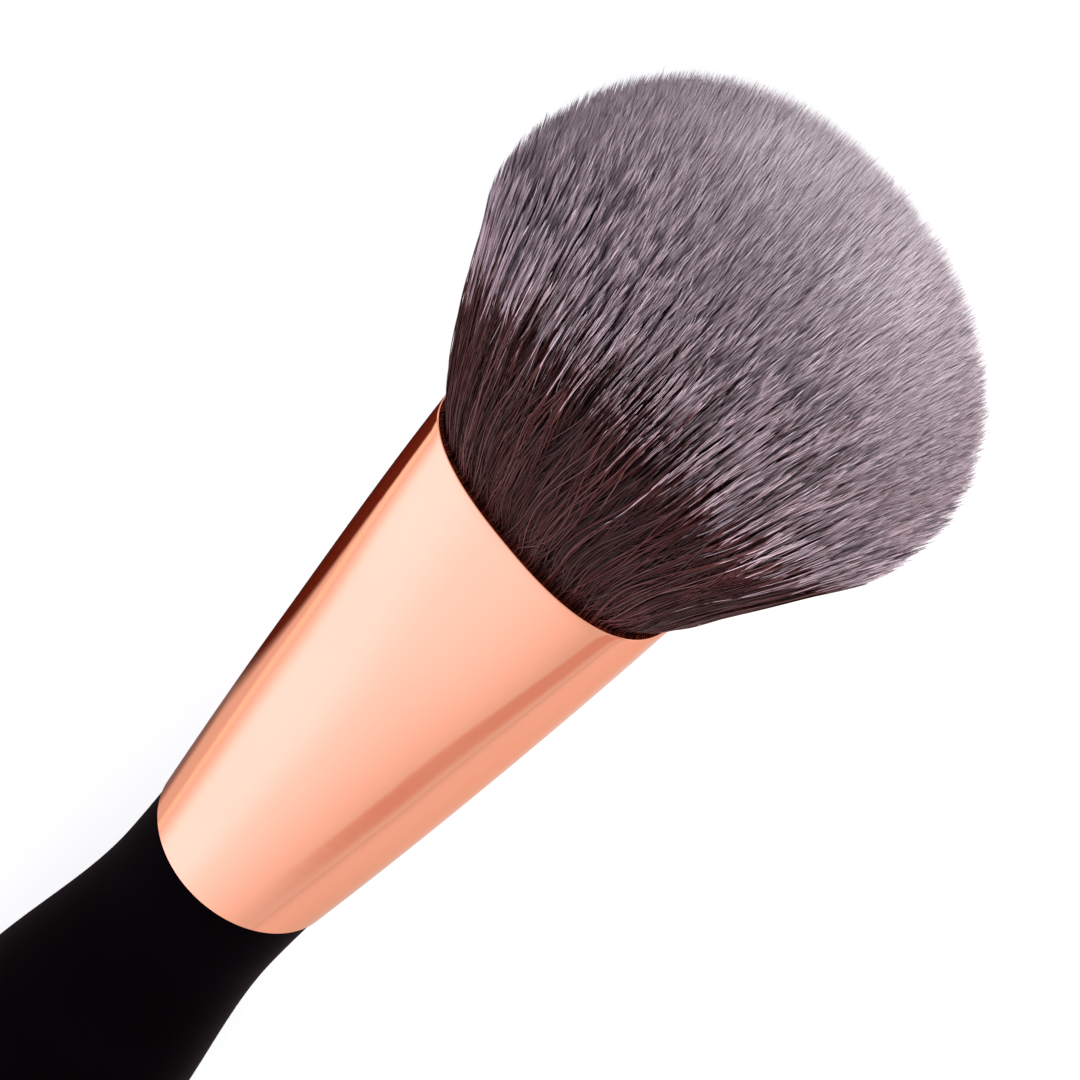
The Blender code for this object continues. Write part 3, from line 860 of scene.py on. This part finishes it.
def sideways(f, x, run, to_tip):
    """Each fibre's bends: its wisp's and its lock's, its own, and the curl of its tip."""
    begun = unit(x / WAVE_START)[..., None]
    sway = waves(f.wisp_phases, f.wisp_sizes, x, WISP_WAVES)
    sway += waves(f.lock_phases, f.lock_sizes, x, LOCK_WAVES)
    sway *= f.calm[:, None, None]
    sway *= begun
    own = waves(f.own_phases, f.own_sizes, x, OWN_WAVES)
    own[..., 0] *= blend(NORMAL_WANDER, 1.0, f.facing)[:, None]
    own[..., 1] *= blend(1.0, NORMAL_WANDER, f.facing)[:, None]
    sway += own * (1.0 - OUTER_CALM * smooth((run - OUTER_CALM_FROM) / OUTER_CALM_WITHIN)) * begun
    sway *= 1.0 - TIP_CALM * smooth((run - TIP_CALM_FROM) / TIP_CALM_WITHIN)
    return sway + f.curl[:, None, :] * unit(1.0 - to_tip / CURL_LENGTH)[..., None] ** 2


def map_along(f, x, to_tip):
    """The map's U: dark up to the dye line, then pale, and palest at the tips and in the heart; the heart's
    whiter tips and pale core are partly painted light standing in for light through the fibres.
    """
    dye = f.dye[:, None]
    palest = blend(HEART_PALE_AND_PAINTED_LIGHT, SHELL_PALE, unit((f.share[:, None] - SHELL_PALE_FROM) / SHELL_PALE_WITHIN))
    paled = unit(1.0 - to_tip / PALE_LENGTH) ** PALE_POWER
    # Partly painted light: the heart's core is paler far below its tips, standing in for light through the
    # fibres
    pale_and_painted_core = CORE_PALE_AND_PAINTED_LIGHT * smooth((CORE_SHARE - f.share) / CORE_WITHIN)[:, None]
    paled = np.maximum(paled, pale_and_painted_core * unit((CORE_LENGTH - to_tip) / CORE_FADE))
    lit = unit((f.reach[:, None] - dye) / LEAST_LIT)
    dark = DARK_END * (x + ROOT_DEPTH) / (dye + ROOT_DEPTH)
    return np.where(x < dye, dark, blend(PALE_FROM, blend(PALE_START, palest, paled), lit))


def tube_loops(count, body):
    """Corner numbers and face sizes of tubes with three sides, closed at the root and pointed at the tip."""
    per = body * 3 + 1
    quads = []
    for r in range(body - 1):
        for k in range(3):
            j = (k + 1) % 3
            quads.append((3 * r + k, 3 * r + j, 3 * r + 3 + j, 3 * r + 3 + k))
    last = 3 * (body - 1)
    tris = [(last + k, last + (k + 1) % 3, per - 1) for k in range(3)] + [(2, 1, 0)]
    starts = (np.arange(count) * per)[:, None]
    quad_loops = (starts + np.array(quads).ravel()).reshape(count, -1)
    tri_loops = (starts + np.array(tris).ravel()).reshape(count, -1)
    sizes = np.tile(np.array([4] * len(quads) + [3] * len(tris)), count)
    return np.concatenate([quad_loops, tri_loops], 1).ravel(), sizes


def hair_mesh(name, centres, radii, along, tint, spin, material):
    """Three-sided tubes with a pointed tip, from centre lines (fibres, rings, 3)."""
    count, rings, _ = centres.shape
    body = rings - 1
    tangent = np.gradient(centres, axis=1)
    tangent /= np.linalg.norm(tangent, axis=2, keepdims=True)
    side = np.cross(tangent, spin[:, None, :])
    side /= np.linalg.norm(side, axis=2, keepdims=True)
    other = np.cross(tangent, side)
    points = []
    for k in range(3):
        turn = 2.0 * math.pi * k / 3
        outwards = math.cos(turn) * side[:, :body] + math.sin(turn) * other[:, :body]
        points.append(centres[:, :body] + radii[:, :body, None] * outwards)
    tube = np.stack(points, 2).reshape(count, body * 3, 3)
    verts = np.concatenate([tube, centres[:, -1:]], 1).reshape(-1, 3)
    loops, sizes = tube_loops(count, body)
    begins = np.concatenate([[0], np.cumsum(sizes)[:-1]])
    data = bpy.data.meshes.new(name)
    data.vertices.add(len(verts))
    data.vertices.foreach_set("co", verts.astype(np.float32).ravel())
    data.loops.add(len(loops))
    data.loops.foreach_set("vertex_index", loops.astype(np.int32))
    data.polygons.add(len(sizes))
    data.polygons.foreach_set("loop_start", begins.astype(np.int32))
    data.polygons.foreach_set("use_smooth", np.ones(len(sizes), bool))
    data.update(calc_edges=True)
    u = np.concatenate([np.repeat(along[:, :body], 3, axis=1), along[:, -1:]], 1).ravel()
    v = np.repeat(tint, body * 3 + 1)
    layer = data.uv_layers.new(name="UVMap")
    layer.uv.foreach_set("vector", np.stack([u, v], 1)[loops].astype(np.float32).ravel())
    data.validate()
    data.materials.append(material)
    return linked(name, data)


def hair_piece(name, f, below, above, material):
    """One piece of hair, from its fibres and the places of their rings below and above the dye line."""
    low = -ROOT_DEPTH + (f.dye[:, None] + ROOT_DEPTH) * below
    high = f.dye[:, None] + (f.reach - f.dye)[:, None] * above
    x = np.concatenate([low, high], 1)
    run = unit(x / f.full_reach[:, None])[..., None]
    to_tip = f.reach[:, None] - x
    path = gathered(f, run)
    sway = sideways(f, x, run, to_tip)
    half_width, half_thickness, offset = spread(f.seat, x)
    v = offset + half_width * path[..., 0] + sway[..., 0]
    w = half_thickness * path[..., 1] + sway[..., 1]
    line = np.stack([FERRULE_LENGTH + x, v, w], 2).reshape(-1, 3)
    centres = pressed(placed(line).reshape(*x.shape, 3))
    thickened = smooth((f.share - SHELL_THICK_FROM) / SHELL_THICK_WITHIN)
    thick = blend(FIBRE_RADIUS, SHELL_RADIUS, thickened)[:, None]
    radii = blend(TIP_RADIUS, thick, unit(to_tip / TAPER_LENGTH) ** TAPER_POWER)
    return hair_mesh(name, centres, radii, map_along(f, x, to_tip), f.tint, f.spin, material)


def build_hair():
    fibres = grown_fibres(np.random.default_rng(SEED))
    material = dyed_fibre()
    outer_share = math.inf
    for label, inner_share, below, above in LAYERS:
        chosen = np.flatnonzero((fibres.share > inner_share) & (fibres.share <= outer_share))
        outer_share = inner_share
        faces_each = 3 * (len(below) + len(above) - 1) + 1
        parts = max(1, math.ceil(len(chosen) * faces_each / FACES_PER_PIECE))
        for i, ids in enumerate(np.array_split(chosen, parts)):
            piece = hair_piece(f"hair_{label}_{i + 1}", fibres.part(ids), below, above, material)
            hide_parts("bristle_knot")
            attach(piece, ROOT)


def dress_hidden():
    """Finishes for the pieces inside the ferrule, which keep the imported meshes."""
    finishes = {
        "knot_binding": plain("waxed_thread", dark=(0.50, 0.42, 0.31), pale=(0.66, 0.58, 0.46),
                              scale=3000.0, roughness=0.75),
        "root_resin": plain("cast_resin", dark=(0.30, 0.19, 0.11), pale=(0.45, 0.31, 0.20),
                            scale=250.0, roughness=0.30),
        "tenon_adhesive": plain("cured_adhesive", dark=(0.48, 0.33, 0.13), pale=(0.60, 0.45, 0.22),
                                scale=300.0, roughness=0.32),
    }
    for node, material in finishes.items():
        data = frame["nodes"][node].data
        data.materials.clear()
        data.materials.append(material)


def white_floor():
    """A floor that the camera sees white, with the brush's shadow on it. Metal sees it in smooth patches of
    painted reflection: a painted shadow beside the brush and painted shade near it.
    """
    s = Shader("white_floor")
    s.set(Roughness=0.9, Specular_IOR_Level=0.0)
    path = s.node("LightPath")
    glossy = path.outputs["Is Glossy Ray"]
    seen = s.maths("ADD", path.outputs["Is Camera Ray"], path.outputs["Is Transmission Ray"])
    place = s.node("SeparateXYZ", Vector=s.node("NewGeometry").outputs["Position"])
    across = s.maths("MULTIPLY_ADD", place.outputs["Y"], SHADOW_PATCH_SLANT, place.outputs["X"])
    # Painted shadow, seen by glossy rays only: a slanted patch beside the brush, darker still close to it
    close_shadow = s.stepped(place.outputs["Y"], CLOSE_SHADOW_EDGE, CLOSE_SHADOW_SHARE)
    dark = s.maths("MAXIMUM", s.stepped(across, SHADOW_PATCH_EDGE), close_shadow)
    for axis, edge in SHADOW_PATCH_LIMITS:
        dark = s.maths("MULTIPLY", dark, s.stepped(place.outputs[axis], edge))
    pale = s.mix(s.maths("ADD", seen, glossy), FLOOR_LIT, FLOOR_SEEN)
    # Inside the painted shadow patch, glossy rays see a dark colour
    s.link(s.mix(s.maths("MULTIPLY", dark, glossy), pale, MIRRORED_PAINTED_SHADOW), "Base Color")
    # Painted shade in reflections: the ground near the brush mirrors darker than farther off
    painted_reflection = s.mix(s.stepped(place.outputs["Y"], FAR_EDGE), MIRRORED_PAINTED_SHADE_NEAR, MIRRORED_FAR)
    painted_reflection_strength = s.maths("MULTIPLY", glossy, s.maths("SUBTRACT", 1.0, dark))
    glow = s.node("Emission", Color=s.mix(seen, painted_reflection, WHITE),
                  Strength=s.maths("MULTIPLY_ADD", seen, FLOOR_GLOW, painted_reflection_strength))
    added = s.node("AddShader")
    s.feed(added.inputs[0], s.bsdf.outputs[0])
    s.feed(added.inputs[1], glow.outputs[0])
    s.feed(s.tree.nodes["Material Output"].inputs["Surface"], added.outputs[0])
    return s.material


def build_floor():
    half = FLOOR_HALF
    data = bpy.data.meshes.new("floor")
    corners = [(-half, -half, 0), (half, -half, 0), (half, half, 0), (-half, half, 0)]
    data.from_pydata(corners, [], [(0, 1, 2, 3)])
    data.materials.append(white_floor())
    floor = linked("floor", data)


def build_world():
    """A white surround for the camera, and a soft studio for the light."""
    world = bpy.data.worlds.new("studio")
    world.use_nodes = True
    bpy.context.scene.world = world
    n = Nodes(world.node_tree)
    direction = n.node("TexCoord").outputs["Generated"]
    axes = n.node("SeparateXYZ", Vector=direction)

    def patch(limits):
        """The share of a smooth patch of the sky: the product of one smooth step for each limit."""
        share = 1.0
        for axis, edge in limits:
            share = n.maths("MULTIPLY", share, n.stepped(axes.outputs[axis], edge))
        return share

    towards = n.node("VectorMath", {"operation": "DOT_PRODUCT"})
    n.feed(towards.inputs[0], direction)
    n.feed(towards.inputs[1], BRIGHT_SIDE)
    brightness = towards.outputs["Value"]
    wide = n.mapped(brightness, WIDE_EDGE, to=WIDE_STRENGTH)
    soft = n.maths("ADD", wide, n.stepped(brightness, BRIGHT_EDGE, BRIGHT_STRENGTH))
    light = n.maths("MULTIPLY", soft, n.maths("MULTIPLY_ADD", patch(DUSK_LIMITS), DUSK_DIMMING, 1.0))
    path = n.node("LightPath")
    seen = n.maths("ADD", path.outputs["Is Camera Ray"], path.outputs["Is Transmission Ray"])
    cool = n.mix(n.mapped(light, COOL_EDGE), WHITE, COOL_COLOUR)
    tinted = n.mix(seen, n.mix(patch(STRIP_LIMITS), cool, STRIP_COLOUR), WHITE)
    background = n.tree.nodes["Background"]
    n.feed(background.inputs["Color"], tinted)
    n.feed(background.inputs["Strength"], n.mix(seen, light, 1.0, kind="FLOAT"))


def build_lamp():
    data = bpy.data.lights.new("rim", "AREA")
    data.shape = "RECTANGLE"
    data.size, data.size_y = RIM_SIZE
    data.energy = RIM_POWER
    lamp = linked("rim", data)
    lamp.location = RIM_PLACE
    lamp.rotation_mode = "QUATERNION"
    lamp.rotation_quaternion = (Vector(RIM_TARGET) - Vector(RIM_PLACE)).to_track_quat("-Z", "Y")
    lamp.visible_glossy = False


def build_camera():
    """The photograph's camera, set by its tilt and turn about the brush and the brush's line in the image."""
    side = -math.cos(CAMERA_TURN) * V_AXIS + math.sin(CAMERA_TURN) * W_AXIS
    lifted = math.sin(CAMERA_TURN) * V_AXIS + math.cos(CAMERA_TURN) * W_AXIS
    back = math.sin(CAMERA_TILT) * U_AXIS + math.cos(CAMERA_TILT) * lifted
    along = math.cos(CAMERA_TILT) * U_AXIS - math.sin(CAMERA_TILT) * lifted
    dx, dy = AXIS_IN_IMAGE
    right = (dx * along - dy * side).normalized()
    up = (-dy * along - dx * side).normalized()
    data = bpy.data.cameras.new("camera")
    data.sensor_width = SENSOR_WIDTH
    data.lens = FOCAL_PIXELS / IMAGE_SIZE * SENSOR_WIDTH
    data.clip_start = CLIP_START
    data.clip_end = CLIP_END
    camera = linked("camera", data)
    aim = ORIGIN + U_AXIS * AIM_U + side * AIM_SIDE
    turn = Matrix((right, up, right.cross(up))).transposed()
    camera.matrix_world = Matrix.Translation(aim + back * CAMERA_DISTANCE) @ turn.to_4x4()
    bpy.context.scene.camera = camera


build_camera()
build_world()
build_lamp()
build_floor()
build_handle()
build_ferrule()
build_hair()
dress_hidden()
bpy.context.scene.view_settings.view_transform = "Standard"
